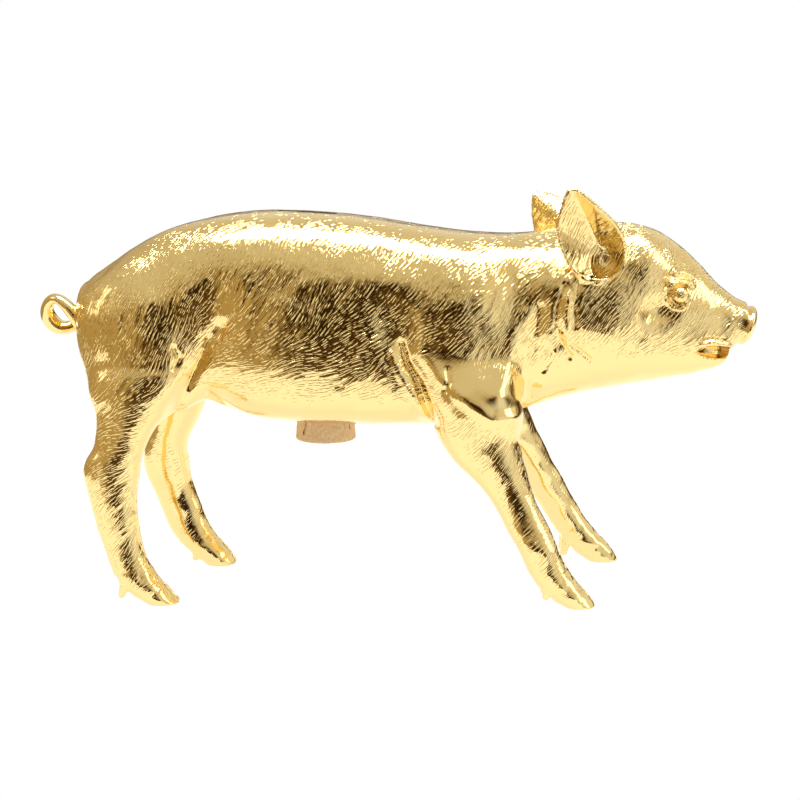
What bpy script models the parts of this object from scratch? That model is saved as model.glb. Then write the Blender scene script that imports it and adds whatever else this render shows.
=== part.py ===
"""A life-size piglet coin bank: a hollow two-piece shell cast in resin, with four solid
legs dowelled to it, two ears and a curled tail let into it, and a cork in the belly.

The model is in metres, +X towards the snout, +Z up, standing on Z = 0 with the middle of
its length and of its width at the origin. The tables below are in millimetres.
"""

import math

import bmesh
import bpy
import numpy as np
from mathutils import Matrix, Vector

MM = 0.001

# Driving dimensions
WALL = 6.0            # thickness of the hollow casting
GAP = 0.3             # clearance between pieces that meet
LEG_JOINT_Z = 104.0   # the level where the legs are bonded on, just under the belly
SEAM_Y = 0.0          # the two shells meet on the middle plane
SLOT_CENTRE_X, SLOT_LENGTH, SLOT_WIDTH = -58.5, 37.0, 5.0
CORK_X = -48.0
CORK_BOTTOM_Z, CORK_LENGTH = 96.0, 32.0
CORK_BOTTOM_R, CORK_TOP_R = 19.4, 17.2
DOWEL_R, DOWEL_GAP = 4.0, 0.3
VOXEL, SMOOTH_ROUNDS, FORM_TRIANGLES = 2.0, 8, 6400
EAR_VOXEL, EAR_SMOOTH_ROUNDS, EAR_TRIANGLES = 1.5, 3, 320
REACH = 150.0         # half the side of a space that holds the whole bank
RING_POINTS = 24

# Torso, neck and head along X: x, top, bottom, half width, height share of the widest line.
TORSO = (
    (-206, 185, 166, 8, 0.5),
    (-204, 192, 157, 19, 0.5),
    (-198, 201, 148, 30, 0.52),
    (-187, 209, 138, 40, 0.54),
    (-170, 220, 130, 47, 0.54),
    (-150, 230.5, 125, 50, 0.54),
    (-125, 238.5, 119.5, 52, 0.53),
    (-95, 243, 112.5, 54.5, 0.5),
    (-60, 244, 109, 57, 0.47),
    (-20, 240.5, 107, 57.5, 0.46),
    (20, 234, 107, 54, 0.48),
    (50, 230, 110, 49, 0.5),
    (75, 229, 115.5, 44, 0.5),
    (95, 230.5, 121, 41.5, 0.47),
    (115, 233.5, 127, 42, 0.44),
    (135, 235, 130.5, 41, 0.43),
    (152, 234, 133, 37.5, 0.45),
    (165, 230, 135, 33.5, 0.47),
    (178, 221.5, 136.5, 28.5, 0.48),
    (191, 208, 138.5, 24, 0.48),
    (204, 195, 141.5, 20, 0.48),
    (210, 189.5, 149, 18, 0.5),
    (218, 184.5, 156, 17, 0.5),
    (223, 182.5, 160, 16.5, 0.5),
)
# Ellipsoids that round out the haunches, shoulders, cheeks and snout on each side:
# x, y, z, radius along x, y and z, lean about Y in degrees.
BULGES = (
    (-166, 27, 162, 38, 26, 48, 8),
    (-154, 29, 150, 30, 21, 32, -14),
    (42, 32, 156, 36, 22, 46, -12),
    (54, 35, 134, 26, 18, 26, -10),
    (122, 22, 164, 32, 20, 26, 24),
)
SNOUT = (223.5, 0, 170.5, 4.2, 19.5, 12.5, 17)
# Legs, from the top down: z, x, y, half length along x, half width across.
LEG_REAR_RIGHT = (
    (150, -160, 36, 30, 20), (134, -164, 39, 26.5, 19), (121, -167, 40, 21.5, 16.5),
    (108, -171.5, 42, 17.4, 14.5), (99, -175, 43, 16.8, 13.5), (91, -179, 44, 17.4, 13),
    (84, -180, 44.5, 17.6, 12.6), (76, -180, 45, 16.3, 12), (64, -178.5, 45.5, 14.8, 11),
    (50, -176, 46, 13.5, 10.4), (38, -173, 46, 12.6, 10.2), (28, -170, 46, 12.8, 10.8),
    (20, -165.5, 46, 13.4, 11.8), (13, -160.5, 46, 14, 12.6), (6, -154, 46, 13.2, 12.8),
    (0, -148.5, 46, 10.2, 11.8), (-6, -146, 46, 6, 9),
)
LEG_REAR_LEFT = (
    (150, -152, 36, 30, 20), (134, -149, 39, 26, 19), (121, -148, 40, 21.5, 16.5),
    (108, -149, 42, 17.6, 14.5), (97, -152, 43, 15.4, 13.4), (87, -155.5, 44, 14.2, 12.8),
    (80, -157, 44.5, 14.4, 12.6), (72, -157, 45, 15.4, 12.2), (63, -156, 45.5, 15.4, 11.6),
    (52, -152.5, 46, 14.6, 10.8), (40, -148, 46, 14.4, 10.4), (29, -144, 46, 14.2, 10.8),
    (20, -138.5, 46, 14.2, 11.8), (12, -132, 46, 13.6, 12.6), (6, -126.5, 46, 12.8, 12.6),
    (0, -121, 46, 10, 11.8), (-6, -118, 46, 6, 9),
)
LEG_FRONT_RIGHT = (
    (152, 42, 37, 31, 17), (136, 44, 40, 29.5, 17), (122, 46, 43, 27, 17),
    (110, 47.5, 45, 25.2, 16.5), (100, 51, 46.5, 23.6, 15.8), (92, 55, 48, 21.8, 15),
    (84, 60.5, 49, 19, 14.2), (77, 65, 50, 16.4, 13.4), (69, 69.5, 51, 14.4, 12.6),
    (59, 74.5, 52, 13.8, 12), (48, 80, 53, 14, 12.2), (38, 85, 54, 12.8, 11.4),
    (30, 89, 54, 12.6, 11.4), (22, 94, 54, 13.6, 12.2), (14, 100, 54, 14.2, 13),
    (6, 107, 54, 12.8, 12.8), (0, 112.5, 54, 9.8, 11.8), (-6, 115, 54, 6, 9),
)
LEG_FRONT_LEFT = (
    (152, 45, 37, 31, 17), (136, 50, 40, 28, 17), (122, 56, 43, 25, 17),
    (110, 62, 45, 22.5, 16), (100, 67.5, 46.5, 20.5, 15), (92, 72, 48, 19, 14.4),
    (84, 77.5, 49, 17.2, 13.8), (77, 82.5, 50, 15.6, 13.2), (69, 88, 51, 14.2, 12.6),
    (59, 95, 52, 13.2, 12), (48, 101, 53, 12.6, 12), (38, 107.5, 54, 12, 11.4),
    (30, 112.5, 54, 12, 11.4), (22, 118.5, 54, 13, 12.2), (14, 125, 54, 14.2, 13),
    (6, 132, 54, 13.2, 12.8), (0, 137.5, 54, 10, 11.8), (-6, 140, 54, 6, 9),
)
# Each leg: table, side (-1 is the right, +1 the left), and the two ends of its dowel (x, y, z).
LEGS = {
    "leg_rear_right": (LEG_REAR_RIGHT, -1, (-171, 41, 132), (-178, 44, 78)),
    "leg_rear_left": (LEG_REAR_LEFT, 1, (-148, 41, 132), (-155, 44, 78)),
    "leg_front_right": (LEG_FRONT_RIGHT, -1, (46, 43, 132), (61, 49, 78)),
    "leg_front_left": (LEG_FRONT_LEFT, 1, (53, 43, 132), (79, 49, 78)),
}
DEW_CLAW_R, DEW_CLAW_LENGTH = 4.2, 13.0
CLEFT_WIDTH, CLEFT_HEIGHT = 2.2, 17.0

# Rim of an ear, seen from its own side: x, distance out from the middle plane, z.
EAR_RIM = (
    (102, 58, 261), (110, 57, 258.5), (122, 52, 249), (130.5, 47, 241), (136.5, 42, 233),
    (139, 38, 223), (135, 38, 213), (129, 40, 206), (120, 43, 201.5), (111, 45, 204.5),
    (103, 47, 212), (98.5, 49, 221), (96.5, 51, 229), (95, 53, 238), (95.5, 55, 248),
    (98, 57, 256),
)
EAR_CENTRE = (122, 30, 221)
EAR_THICKNESS = 3.2
EAR_RINGS = 5
EAR_BOWL = 1.7        # how quickly the ear's bowl rises from its bottom to its rim
EAR_ROOT = (122, 25, 213, 13, 9, 13)
LEFT_EAR_SWEEP = 19.0  # the left ear lies further back, in degrees

# Centre line of the curled tail, with the radius at each point.
TAIL = (
    (-193, -1, 173, 5.4), (-201, -3, 176, 5.2), (-208, -5.5, 181, 4.6), (-215, -6.5, 185.5, 4.1),
    (-221, -5, 185, 3.9), (-225, -1.5, 180.5, 3.8), (-225.2, 1.5, 174.5, 3.8),
    (-221.5, 4, 169.5, 3.7), (-215.5, 6, 168, 3.3), (-210, 7.5, 170.5, 2.7), (-206.5, 8.5, 174, 1.9),
)

GOLD = ("gold_plating", (0.94, 0.71, 0.30), 0.12, 1.0)
CORK = ("natural_cork", (0.76, 0.56, 0.34), 0.85, 0.0)
STEEL = ("steel", (0.62, 0.62, 0.64), 0.35, 1.0)


def new_collection(name):
    collection = bpy.data.collections.new(name)
    bpy.context.scene.collection.children.link(collection)
    return collection


def clear_scene():
    for obj in list(bpy.data.objects):
        bpy.data.objects.remove(obj)


def add_object(name, mesh, collection):
    obj = bpy.data.objects.new(name, mesh)
    collection.objects.link(obj)
    return obj


def from_bmesh(name, bm, collection):
    mesh = bpy.data.meshes.new(name)
    bmesh.ops.recalc_face_normals(bm, faces=bm.faces[:])
    bm.to_mesh(mesh)
    bm.free()
    return add_object(name, mesh, collection)


def as_helper(obj):
    """Marks a cutter or a form that isn't a part of the bank itself."""
    obj.hide_render = True
    obj.display_type = "WIRE"
    return obj


def material(name, colour, roughness, metallic):
    found = bpy.data.materials.get(name)
    if found:
        return found
    made = bpy.data.materials.new(name)
    made.use_nodes = True
    shader = made.node_tree.nodes["Principled BSDF"]
    shader.inputs["Base Color"].default_value = (*colour, 1.0)
    shader.inputs["Roughness"].default_value = roughness
    shader.inputs["Metallic"].default_value = metallic
    return made


def oval(centre, half_a, half_up, half_down, axis_a, axis_b):
    """Points round a closed oval with different heights above and below its widest line."""
    points = []
    for i in range(RING_POINTS):
        angle = 2 * math.pi * i / RING_POINTS
        rise = math.sin(angle)
        height = (half_up if rise > 0 else half_down) * rise
        points.append(centre + axis_a * half_a * math.cos(angle) + axis_b * height)
    return points


def loft(name, rings, collection):
    """Skins closed rings of equal counts, one after another, and caps both ends."""
    bm = bmesh.new()
    rows = [[bm.verts.new(p * MM) for p in ring] for ring in rings]
    count = len(rings[0])
    for near, far in zip(rows, rows[1:]):
        for i in range(count):
            j = (i + 1) % count
            bm.faces.new((near[i], near[j], far[j], far[i]))
    bm.faces.new(rows[0][::-1])
    bm.faces.new(rows[-1])
    return from_bmesh(name, bm, collection)


def torso_rings(table, inset=0.0):
    rings = []
    for x, top, bottom, half_width, share in table:
        top, bottom, half_width = top - inset, bottom + inset, half_width - inset
        widest = bottom + share * (top - bottom)
        centre = Vector((x, 0, widest))
        rings.append(
            oval(centre, half_width, top - widest, widest - bottom, Vector((0, 1, 0)), Vector((0, 0, 1)))
        )
    return rings


def leg_rings(table, side):
    across, along = Vector((0, 1, 0)), Vector((1, 0, 0))
    return [
        oval(Vector((x, side * y, z)), half_across, half_along, half_along, across, along)
        for z, x, y, half_along, half_across in table
    ]


def ellipsoid(name, centre, radii, collection, lean=0.0):
    bm = bmesh.new()
    bmesh.ops.create_uvsphere(bm, u_segments=24, v_segments=14, radius=MM)
    placed = (
        Matrix.Translation(Vector(centre) * MM)
        @ Matrix.Rotation(math.radians(lean), 4, "Y")
        @ Matrix.Diagonal((*radii, 1))
    )
    bmesh.ops.transform(bm, matrix=placed, verts=bm.verts[:])
    return from_bmesh(name, bm, collection)


def rod(name, start, end, start_r, end_r, collection, sides=20):
    """A round rod, or a cone, from one point to another."""
    start, end = Vector(start) * MM, Vector(end) * MM
    bm = bmesh.new()
    bmesh.ops.create_cone(
        bm, cap_ends=True, segments=sides, radius1=start_r * MM, radius2=end_r * MM,
        depth=(end - start).length,
    )
    turn = (end - start).to_track_quat("Z", "Y").to_matrix().to_4x4()
    bmesh.ops.transform(bm, matrix=Matrix.Translation((start + end) / 2) @ turn, verts=bm.verts[:])
    return from_bmesh(name, bm, collection)


def block(name, low, high, collection):
    low, high = Vector(low) * MM, Vector(high) * MM
    bm = bmesh.new()
    bmesh.ops.create_cube(bm, size=1.0)
    placed = Matrix.Translation((low + high) / 2) @ Matrix.Diagonal((*(high - low), 1))
    bmesh.ops.transform(bm, matrix=placed, verts=bm.verts[:])
    return from_bmesh(name, bm, collection)


def settled(obj):
    """Replaces the object's mesh with what its modifiers make of it."""
    bpy.context.view_layer.update()
    graph = bpy.context.evaluated_depsgraph_get()
    mesh = bpy.data.meshes.new_from_object(obj.evaluated_get(graph))
    obj.modifiers.clear()
    obj.data = mesh
    return obj


def cut(obj, *cutters, operation="DIFFERENCE"):
    for cutter in cutters:
        modifier = obj.modifiers.new(operation.title(), "BOOLEAN")
        modifier.operation = operation
        modifier.object = cutter
    return settled(obj)


def joined(name, pieces, collection):
    """One mesh that holds every piece, still overlapping."""
    bm = bmesh.new()
    for piece in pieces:
        bm.from_mesh(piece.data)
        bpy.data.objects.remove(piece)
    mesh = bpy.data.meshes.new(name)
    bm.to_mesh(mesh)
    bm.free()
    return add_object(name, mesh, collection)


def blended(obj, voxel, rounds, triangles):
    """Fuses overlapping pieces into one smooth skin of about so many triangles."""
    remesh = obj.modifiers.new("Fuse", "REMESH")
    remesh.mode = "VOXEL"
    remesh.voxel_size = voxel * MM
    smooth = obj.modifiers.new("Smooth", "SMOOTH")
    smooth.factor = 0.5
    smooth.iterations = rounds
    settled(obj)
    decimate = obj.modifiers.new("Reduce", "DECIMATE")
    decimate.ratio = min(1.0, triangles / (2 * len(obj.data.polygons)))
    return settled(obj)


def copy_of(obj, name, collection, grown=0.0):
    """A copy of the object's mesh, pushed out along its normals by so many millimetres."""
    made = add_object(name, obj.data.copy(), collection)
    if grown:
        displace = made.modifiers.new("Grow", "DISPLACE")
        displace.strength = grown * MM
        displace.mid_level = 0.0
        settled(made)
    return made


def leg_pieces(name, helpers):
    """A leg's form and its two dew claws; they run a little below the ground."""
    table, side, _, _ = LEGS[name]
    pieces = [loft(name + "_form", leg_rings(table, side), helpers)]
    z, x, y, half_along, _ = table[-4]
    for spread in (-7.0, 7.0):
        heel = Vector((x - half_along + 3, side * y + spread, z + 6))
        tip = heel + Vector((-2.5, spread * 0.2, -DEW_CLAW_LENGTH))
        pieces.append(rod("dew_claw", heel, tip, DEW_CLAW_R, DEW_CLAW_R / 2, helpers, sides=10))
    return pieces


def make_leg_box(name, helpers):
    """The space that one separate leg takes up, from the ground to its joint with the shell."""
    table, side, _, _ = LEGS[name]
    front = table[0][1] > 0
    low_x, high_x = (0, 2 * REACH) if front else (-2 * REACH, 0)
    low_y, high_y = (0, REACH) if side > 0 else (-REACH, 0)
    return as_helper(
        block(name + "_box", (low_x, low_y, 0), (high_x, high_y, LEG_JOINT_Z - GAP / 2), helpers)
    )


def make_cleft(name, helpers):
    """The wedge between the two toes of a foot."""
    table, side, _, _ = LEGS[name]
    _, x, y, _, _ = table[-2]
    y *= side
    low = (x - 1, y - CLEFT_WIDTH / 2, -CLEFT_HEIGHT)
    high = (x + 30, y + CLEFT_WIDTH / 2, CLEFT_HEIGHT)
    return as_helper(block(name + "_cleft", low, high, helpers))


def make_ear(name, side, sweep, helpers):
    """A bowl that rises from its root to a pointed rim, thickened and fused to a short root."""
    centre = Vector(EAR_CENTRE)
    bm = bmesh.new()
    rows = []
    for ring in range(1, EAR_RINGS + 1):
        share = ring / EAR_RINGS
        row = []
        for rim in EAR_RIM:
            point = centre.lerp(Vector(rim), share)
            point.y = centre.y + (rim[1] - centre.y) * share**EAR_BOWL
            row.append(bm.verts.new(point * MM))
        rows.append(row)
    middle = bm.verts.new(centre * MM)
    count = len(EAR_RIM)
    for i in range(count):
        bm.faces.new((middle, rows[0][i], rows[0][(i + 1) % count]))
        for near, far in zip(rows, rows[1:]):
            j = (i + 1) % count
            bm.faces.new((near[i], far[i], far[j], near[j]))
    sheet = from_bmesh(name + "_sheet", bm, helpers)
    solidify = sheet.modifiers.new("Thickness", "SOLIDIFY")
    solidify.thickness = EAR_THICKNESS * MM
    solidify.offset = 0.0
    subdivide = sheet.modifiers.new("Round", "SUBSURF")
    subdivide.levels = subdivide.render_levels = 1
    settled(sheet)
    root = ellipsoid(name + "_root", EAR_ROOT[:3], EAR_ROOT[3:], helpers)
    form = joined(name, [sheet, root], helpers)
    pivot = Matrix.Translation(centre * MM)
    swept = pivot @ Matrix.Rotation(math.radians(-sweep), 4, "Y") @ pivot.inverted()
    form.data.transform(Matrix.Diagonal((1, side, 1, 1)) @ swept)
    if side < 0:
        form.data.flip_normals()
    return blended(form, EAR_VOXEL, EAR_SMOOTH_ROUNDS, EAR_TRIANGLES)


def make_tail(collection):
    """A tapering tube on a smooth curve through the tail's points, made a closed mesh."""
    curve = bpy.data.curves.new("tail", "CURVE")
    curve.dimensions = "3D"
    curve.bevel_depth = MM
    curve.bevel_resolution = 3
    curve.resolution_u = 4
    curve.use_fill_caps = True
    spline = curve.splines.new("NURBS")
    spline.points.add(len(TAIL) - 1)
    for point, (x, y, z, radius) in zip(spline.points, TAIL):
        point.co = (x * MM, y * MM, z * MM, 1.0)
        point.radius = radius
    spline.use_endpoint_u = True
    spline.order_u = 4
    guide = add_object("tail_curve", curve, collection)
    bpy.context.view_layer.update()
    graph = bpy.context.evaluated_depsgraph_get()
    mesh = bpy.data.meshes.new_from_object(guide.evaluated_get(graph))
    bpy.data.objects.remove(guide)
    bm = bmesh.new()
    bm.from_mesh(mesh)
    bmesh.ops.remove_doubles(bm, verts=bm.verts[:], dist=1e-5)
    return from_bmesh("tail", bm, collection)


def make_animal_form(helpers):
    """The whole animal without its ears and tail, as one closed skin."""
    pieces = [loft("torso_form", torso_rings(TORSO), helpers)]
    for x, y, z, rx, ry, rz, lean in BULGES:
        for side in (-1, 1):
            pieces.append(ellipsoid("bulge", (x, side * y, z), (rx, ry, rz), helpers, lean))
    pieces.append(ellipsoid("snout_disc", SNOUT[:3], SNOUT[3:6], helpers, lean=SNOUT[6]))
    for name in LEGS:
        pieces.extend(leg_pieces(name, helpers))
    form = joined("animal_form", pieces, helpers)
    return as_helper(blended(form, VOXEL, SMOOTH_ROUNDS, FORM_TRIANGLES))


def make_cavity(helpers):
    """The hollow inside, one wall's thickness in from the torso and the neck."""
    inside = [row for row in TORSO if -190 < row[0] < 155]
    return as_helper(loft("cavity_form", torso_rings(inside, WALL), helpers))


def make_cutters(helpers):
    half_slot = SLOT_LENGTH / 2
    slot = block(
        "slot_cutter",
        (SLOT_CENTRE_X - half_slot, -SLOT_WIDTH / 2, 215),
        (SLOT_CENTRE_X + half_slot, SLOT_WIDTH / 2, 260),
        helpers,
    )
    taper = (CORK_TOP_R - CORK_BOTTOM_R) / CORK_LENGTH
    low, high = CORK_BOTTOM_Z - 8, CORK_BOTTOM_Z + CORK_LENGTH + 6

    def bore_radius(z):
        return CORK_BOTTOM_R + GAP + taper * (z - CORK_BOTTOM_Z)

    bore = rod(
        "bore_cutter", (CORK_X, 0, low), (CORK_X, 0, high), bore_radius(low), bore_radius(high),
        helpers, sides=40,
    )
    return as_helper(slot), as_helper(bore)


def make_cork(bank):
    cork = rod(
        "cork_stopper",
        (CORK_X, 0, CORK_BOTTOM_Z), (CORK_X, 0, CORK_BOTTOM_Z + CORK_LENGTH),
        CORK_BOTTOM_R, CORK_TOP_R, bank, sides=40,
    )
    bevel = cork.modifiers.new("Worn edge", "BEVEL")
    bevel.width = 1.0 * MM
    bevel.segments = 2
    settled(cork)
    foot = Vector((CORK_X, 0, CORK_BOTTOM_Z)) * MM
    cork.data.transform(Matrix.Translation(-foot))
    cork.location = foot
    return cork


def build():
    clear_scene()
    bank = new_collection("piglet_coin_bank")
    helpers = new_collection("cutters")

    form = make_animal_form(helpers)
    cavity = make_cavity(helpers)
    slot, bore = make_cutters(helpers)
    pieces = {
        "ear_right": make_ear("ear_right", -1, 0.0, helpers),
        "ear_left": make_ear("ear_left", 1, LEFT_EAR_SWEEP, helpers),
        "tail": make_tail(helpers),
    }
    for piece in pieces.values():
        helpers.objects.unlink(piece)
        bank.objects.link(piece)
    seats = [copy_of(piece, name + "_seat", helpers, GAP) for name, piece in pieces.items()]

    # The forms of the legs end at one level under the belly; the shell is all above it.
    holes = []
    for name, (_, side, top, bottom) in LEGS.items():
        top = Vector((top[0], side * top[1], top[2]))
        bottom = Vector((bottom[0], side * bottom[1], bottom[2]))
        hole = rod(name + "_hole", top, bottom, DOWEL_R + DOWEL_GAP, DOWEL_R + DOWEL_GAP, helpers)
        holes.append(as_helper(hole))
        leg = copy_of(form, name, bank)
        cut(leg, make_leg_box(name, helpers), operation="INTERSECT")
        pieces[name] = cut(leg, make_cleft(name, helpers), hole)
        inset = (bottom - top).normalized() * 2 * DOWEL_GAP
        dowel = rod(name.replace("leg", "dowel"), top + inset, bottom - inset, DOWEL_R, DOWEL_R, bank)
        pieces[dowel.name] = dowel

    for name, low_y, high_y in (
        ("shell_right", -REACH, SEAM_Y - GAP / 2),
        ("shell_left", SEAM_Y + GAP / 2, REACH),
    ):
        low, high = (-2 * REACH, low_y, LEG_JOINT_Z + GAP / 2), (2 * REACH, high_y, 2 * REACH)
        half = as_helper(block(name + "_half", low, high, helpers))
        pieces[name] = copy_of(form, name, bank)
        cut(pieces[name], half, operation="INTERSECT")
        cut(pieces[name], cavity, slot, bore, *holes, *seats)
    for seat in seats:
        as_helper(seat)
    pieces["cork_stopper"] = make_cork(bank)

    for name, obj in pieces.items():
        finish = CORK if name.startswith("cork") else STEEL if name.startswith("dowel") else GOLD
        obj.data.materials.clear()
        obj.data.materials.append(material(*finish))
        obj.data.shade_smooth()
        obj.data.set_sharp_from_angle(angle=math.radians(40))


build()
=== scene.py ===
"""Looks for the life-size piglet coin bank.

The skin is sculpted as one smooth distance field in millimetres, meshed, given its fur relief,
and then cut into pieces for the CAD model: two hollow shells, which also carry the ears and the
tail, and four legs. The cork is modelled on its own. Every piece stands in its CAD node's place.
"""

import math

import bmesh
import bpy
import numpy as np
import openvdb
from mathutils import Matrix, Vector


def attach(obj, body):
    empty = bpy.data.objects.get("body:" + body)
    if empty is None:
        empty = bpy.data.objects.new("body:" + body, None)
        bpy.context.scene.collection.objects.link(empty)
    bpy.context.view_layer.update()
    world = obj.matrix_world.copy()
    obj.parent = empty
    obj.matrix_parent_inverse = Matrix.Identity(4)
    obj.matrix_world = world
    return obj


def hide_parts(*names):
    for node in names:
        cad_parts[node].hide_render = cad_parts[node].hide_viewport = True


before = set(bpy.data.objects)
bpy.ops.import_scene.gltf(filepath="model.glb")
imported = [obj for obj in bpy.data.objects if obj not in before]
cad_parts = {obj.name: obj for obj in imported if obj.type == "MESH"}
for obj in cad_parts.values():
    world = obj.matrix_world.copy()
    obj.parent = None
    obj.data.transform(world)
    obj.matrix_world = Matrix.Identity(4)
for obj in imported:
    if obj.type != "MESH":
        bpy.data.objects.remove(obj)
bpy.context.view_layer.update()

MM = 0.001
VOXEL = 0.9     # size of the sculpting grid's cells, in mm
BLOCK = 16                        # the grid is worked out in blocks of this many cells a side
WALL, SIDE_WALL = 6.0, 9.0        # thickness of the hollow casting, and of its sides at their thickest
LEG_JOINT_Z = 104.0               # where the legs are bonded to the shells

GROUND = 0.0                      # the plane that the soles stand on, which also closes the feet
LEG_BLEND, CLAW_BLEND, TAIL_BLEND, EAR_BLEND = 9.0, 2.0, 1.6, 4.0

# Torso, neck and head along X: x, top, bottom, half width, height share of the widest line.
TORSO = (
    (-206, 184, 166, 9, 0.5),
    (-203.5, 193, 156, 20, 0.5),
    (-198, 198.8, 148, 31, 0.52),
    (-187, 207, 138, 40, 0.54),
    (-170, 219, 131, 47, 0.54),
    (-150, 229.8, 127, 50, 0.54),
    (-125, 237.3, 123, 52, 0.53),
    (-95, 242.2, 114, 54.5, 0.5),
    (-60, 242.5, 109.6, 57, 0.47),
    (-20, 239, 108.6, 57.5, 0.46),
    (20, 232.5, 108.6, 54, 0.48),
    (50, 229.1, 110.8, 49, 0.51),
    (75, 228.8, 115.5, 44.5, 0.56),
    (95, 231, 121, 41.5, 0.6),
    (115, 234, 126.5, 41.5, 0.61),
    (135, 235.5, 130.5, 40.5, 0.6),
    (152, 234, 133, 37, 0.58),
    (165, 229.5, 135, 32, 0.56),
    (178, 220.5, 137, 27, 0.54),
    (191, 208.5, 139.5, 22.5, 0.52),
    (203, 196.2, 144, 19, 0.47),
    (209, 191.2, 149.5, 17.6, 0.5),
    (213, 188, 156, 16.6, 0.5),
    (221, 184, 161, 15.5, 0.5),
)
# Legs, from the top down: z, x, y, half length along x, half width across.
LEG_REAR_RIGHT = (
    (160, -160, 27, 22, 10), (146, -161, 35, 30, 19), (134, -165.5, 38, 28.6, 19.5),
    (121, -168, 40, 22.6, 17), (108, -172, 42, 17.8, 14.5), (99, -175, 43, 16.6, 13.5),
    (91, -178.6, 44, 17.4, 12.6), (84, -180, 44.5, 17.6, 12), (76, -180, 45, 16.3, 11.4),
    (64, -179, 45.5, 14.4, 10.6), (50, -176.8, 46, 13.4, 10), (38, -174.6, 46, 12.8, 10),
    (28, -171.8, 46, 12.6, 10.8), (20, -168, 46, 13, 11.8), (13, -163, 46, 13, 12.6),
    (6, -156.5, 46, 12.9, 12.6), (0, -149.5, 46, 11, 11.6), (-6, -146, 46, 8, 9),
)
LEG_REAR_LEFT = (
    (160, -152, 27, 22, 10), (146, -151, 35, 29, 19), (134, -149, 38, 26, 19),
    (121, -148, 40, 21.5, 17), (108, -149, 42, 17.6, 14.5), (97, -152, 43, 15.4, 13.2),
    (87, -155.5, 44, 14.2, 12.4), (80, -157, 44.5, 14.4, 12), (72, -157, 45, 15.4, 11.6),
    (63, -156, 45.5, 15.2, 11), (52, -152.5, 46, 14.4, 10.4), (40, -148, 46, 14, 10.2),
    (29, -144, 46, 14, 10.8), (20, -139, 46, 14.4, 11.8), (12, -132.5, 46, 14, 12.6),
    (6, -127, 46, 13, 12.6), (0, -121.5, 46, 10.8, 11.6), (-6, -118, 46, 8, 9),
)
LEG_FRONT_RIGHT = (
    (162, 41, 28, 24, 10), (148, 42, 36, 31, 18), (136, 44, 40.5, 30, 21),
    (122, 46, 43, 27.4, 21.4), (110, 47.5, 44.3, 25.4, 18.8), (100, 51, 45, 23.8, 16.6),
    (92, 55, 45.8, 22, 14.8), (84, 60.5, 46.6, 19.2, 13.2), (77, 65, 47.4, 16.6, 12),
    (69, 69.5, 48.4, 14.4, 11.2), (59, 74.7, 49.8, 13.6, 10.8), (48, 80.3, 51.8, 13.8, 11.2),
    (38, 85.2, 54, 12.8, 11.2), (30, 89, 54, 12.6, 11.2), (22, 93, 54, 13, 12),
    (14, 98.8, 54, 13.4, 12.8), (6, 106.2, 54, 12.8, 12.6), (0, 112.5, 54, 10.4, 11.6),
    (-6, 115, 54, 8, 9),
)
LEG_FRONT_LEFT = (
    (162, 43, 28, 24, 10), (148, 46, 36, 30, 17), (136, 50, 40, 28.5, 17.5),
    (122, 56, 43, 25, 17), (110, 62, 45, 22.5, 16), (100, 68, 46.5, 20.8, 15),
    (92, 72.8, 48, 19.4, 14.2), (84, 78.5, 49, 17.8, 13.6), (77, 83.5, 50, 16.4, 13),
    (69, 89, 51, 15, 12.4), (59, 96, 52, 14, 11.8), (48, 102, 53, 13.6, 12),
    (38, 108.5, 54, 12.8, 11.2), (30, 113.5, 54, 12.6, 11.2), (22, 119.5, 54, 13.2, 11.4),
    (14, 126, 54, 14.2, 11.6), (6, 133, 54, 13.4, 11), (0, 138.5, 54, 10.8, 9.8),
    (-6, 140, 54, 8, 9),
)
# How far in front of its heel each leg's dew claws stand, and their radii at the root and the tip.
CLAW_FORWARD = {"leg_rear_right": 4, "leg_rear_left": 11, "leg_front_right": 8, "leg_front_left": 2}
CLAW_RADII = (4.1, 2.4)
LEGS = {
    "leg_rear_right": (LEG_REAR_RIGHT, -1),
    "leg_rear_left": (LEG_REAR_LEFT, 1),
    "leg_front_right": (LEG_FRONT_RIGHT, -1),
    "leg_front_left": (LEG_FRONT_LEFT, 1),
}
# Muscle masses, the same on both sides: x, y, z, radii, lean about Y in degrees, blend.
MASSES = (
    (-165, 27, 166, 35, 25, 44, 10, 12),     # haunch
    (-150, 30, 150, 30, 22, 34, -16, 12),    # thigh
    (36, 33, 178, 30, 20, 40, -14, 14),      # shoulder blade
    (44, 41, 132, 36, 22, 20, 36, 12),       # upper arm
    (-66, 22, 162, 54, 34, 42, 1, 14),       # belly
    (118, 20, 184, 30, 21, 24, 18, 12),      # cheek
    (150, 17, 214, 18, 17, 15, 28, 10),      # brow
    (98, 24, 190, 22, 20, 28, -12, 14),      # neck
)
# Dents, the same on both sides: x, y, z, radii, lean about Y, depth blend.
DENTS = (
    (-120, 65, 172, 14, 14, 40, 20, 12),     # flank, in front of the thigh
    (2, 72, 158, 12, 16, 46, -16, 12),       # behind the shoulder
    (164, 38, 183, 12, 9, 9, 0, 8),          # below the eye
)
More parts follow.
